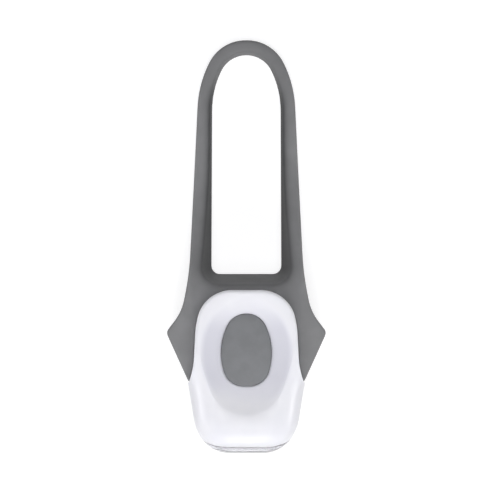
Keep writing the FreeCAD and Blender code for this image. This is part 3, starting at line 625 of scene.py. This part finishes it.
# Spreads the value into the skin nearby, so that the painted shade fades softly at the edges.
def spreadValue(model, layer, rounds):
    model.verts.ensure_lookup_table()
    near = [[edge.other_vert(vert).index for edge in vert.link_edges] for vert in model.verts]
    values = [vert[layer] for vert in model.verts]
    for _ in range(rounds):
        values = [(value + sum(values[other] for other in others)) / (1 + len(others))
                  for value, others in zip(values, near)]
    for vert, value in zip(model.verts, values):
        vert[layer] = value


# The holder's solid, filled with voxels and skinned again, as a plain mesh
def remeshHolder(piece):
    model = bmesh.new()
    model.from_mesh(frame["nodes"]["silicone_holder"].data)
    bmesh.ops.remove_doubles(model, verts=model.verts, dist=cadFinish["merge"])
    model.to_mesh(piece.data)
    model.free()
    remesh = piece.modifiers.new("skin", "REMESH")
    remesh.mode = "VOXEL"
    remesh.voxel_size = holderSkin["voxel"]
    shown = piece.evaluated_get(bpy.context.evaluated_depsgraph_get())
    skin = bpy.data.meshes.new_from_object(shown)
    piece.modifiers.clear()
    return skin


def makeHolder(material):
    piece = bpy.data.objects.new("holder_skin", bpy.data.meshes.new("holderBlock"))
    bpy.context.scene.collection.objects.link(piece)
    skin = remeshHolder(piece)
    model = bmesh.new()
    model.from_mesh(skin)
    for _ in range(holderSkin["softRounds"]):
        bmesh.ops.smooth_vert(model, verts=model.verts, factor=holderSkin["softStrength"],
                              use_axis_x=True, use_axis_y=True, use_axis_z=True)
    for face in model.faces:
        face.smooth = True
    model.normal_update()
    paintedShade = model.verts.layers.float.new("paintedShadeAndPolish")
    for vert in model.verts:
        vert[paintedShade] = paintedShadeAt(vert.co, vert.normal)
    spreadValue(model, paintedShade, holderSkin["spreadRounds"])
    model.to_mesh(skin)
    model.free()
    piece.data = skin
    paint(piece, material)
    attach(piece, "holder")
    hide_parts("silicone_holder")
    print("holder skin:", len(skin.polygons), "faces")


# The floor and the world glow white only for the camera, in gloss and through glass.
stage = {"floorZ": -0.00005, "floorSize": 3.0, "floorGlow": 0.7, "worldLevel": 0.04,
         "floor": {"Base Color": grey(0.5), "Roughness": 1.0, "Specular IOR Level": 0.0,
                   "Emission Color": grey(1)}}


def glowWhenSeen(node, low, high):
    direct, glossy, through = (Wire(node.outputs[0]).node("ShaderNodeLightPath", output=ray)
                               for ray in ("Is Camera Ray", "Is Glossy Ray",
                                           "Is Transmission Ray"))
    return low + (high - low) * direct.larger(glossy.larger(through))


def makeFloor():
    model = bmesh.new()
    bmesh.ops.create_grid(model, x_segments=1, y_segments=1, size=stage["floorSize"] / 2)
    bmesh.ops.translate(model, verts=model.verts, vec=(0, 0, stage["floorZ"]))
    mesh = bpy.data.meshes.new("floor")
    model.to_mesh(mesh)
    model.free()
    floor = bpy.data.objects.new("floor", mesh)
    bpy.context.scene.collection.objects.link(floor)
    made, shader, _ = startMaterial("floor", stage["floor"])
    feed(shader, {"Emission Strength": glowWhenSeen(shader, 0.0, stage["floorGlow"])})
    # clear from below and for the lamp under it, so that the back can be looked at
    solid = Wire(shader.outputs[0])
    clear = solid.node("ShaderNodeBsdfTransparent")
    below = solid.node("ShaderNodeNewGeometry", output="Backfacing")
    shadow = solid.node("ShaderNodeLightPath", output="Is Shadow Ray")
    mixed = solid.node("ShaderNodeMixShader", None, {0: below.larger(shadow), 1: solid, 2: clear})
    feed(made.node_tree.nodes["Material Output"], {"Surface": mixed})
    paint(floor, made)
    print("floor:", stage["floorSize"], "m")


def makeWorld():
    world = bpy.data.worlds.new("studio")
    world.use_nodes = True
    back = world.node_tree.nodes["Background"]
    back.inputs["Color"].default_value = grey(1)
    feed(back, {"Strength": glowWhenSeen(back, stage["worldLevel"], 1.0)})
    bpy.context.scene.world = world
    print("world level:", stage["worldLevel"])


# Square area lamps, aimed at the origin, with their places in metres and power in watts
lamps = {
    "low": {"from": (0.0, -0.75, 0.45), "size": 0.45, "power": 4.1, "tint": (0.975, 0.975, 1)},
    "far": {"from": (0.0, 0.75, 0.45), "size": 0.45, "power": 1.0, "tint": (0.98, 0.98, 1)},
    "left": {"from": (-0.85, -0.1, 0.08), "size": 0.3, "power": 2.1, "tint": (0.98, 0.98, 1)},
    "right": {"from": (0.85, -0.1, 0.08), "size": 0.3, "power": 2.1, "tint": (1, 1, 0.99)},
    "above": {"from": (0.0, 0.0, 1.1), "size": 0.9, "power": 7.2, "tint": (0.97, 0.97, 1)},
    "below": {"from": (0.0, -0.25, -1.1), "size": 0.9, "power": 8.0, "tint": (1, 1, 1)},
}


def makeLamps():
    for name, lamp in lamps.items():
        data = bpy.data.lights.new(name, "AREA")
        data.shape = "SQUARE"
        data.size = lamp["size"]
        data.energy = lamp["power"]
        data.color = lamp["tint"]
        light = bpy.data.objects.new(name, data)
        light.location = lamp["from"]
        light.rotation_euler = Vector(lamp["from"]).to_track_quat("Z", "Y").to_euler()
        bpy.context.scene.collection.objects.link(light)
    print("lamps:", len(lamps))


# The photograph looks straight down on the light, which lies on its back. The width is what
# the camera sees at the distance given, in metres.
camera = {"distance": 1.0, "width": 0.12054, "x": -0.00009, "y": 0.02523, "z": 0.01,
          "nearest": 0.01}


def makeCamera():
    data = bpy.data.cameras.new("camera")
    data.lens = data.sensor_width * camera["distance"] / camera["width"]
    data.clip_start = camera["nearest"]
    made = bpy.data.objects.new("camera", data)
    made.location = (camera["x"], camera["y"], camera["z"] + camera["distance"])
    bpy.context.scene.collection.objects.link(made)
    bpy.context.scene.camera = made
    bpy.context.scene.view_settings.view_transform = "Standard"
    print("camera lens:", round(data.lens), "mm")


makeCamera()
makeLamps()
makeWorld()
makeFloor()
materials = makeMaterials()
dressNodes(materials)
makeHolder(materials["silicone"])
makeLedInsides(materials["spring_steel"], materials["die_yellow"])
makeLegs(materials["spring_steel"])
makeEndCaps(materials["spring_steel"])
makeSolder(materials["spring_steel"])
makeCoverMarks(materials["black_parts"])
makeButtonLip(materials["milky_plastic"])
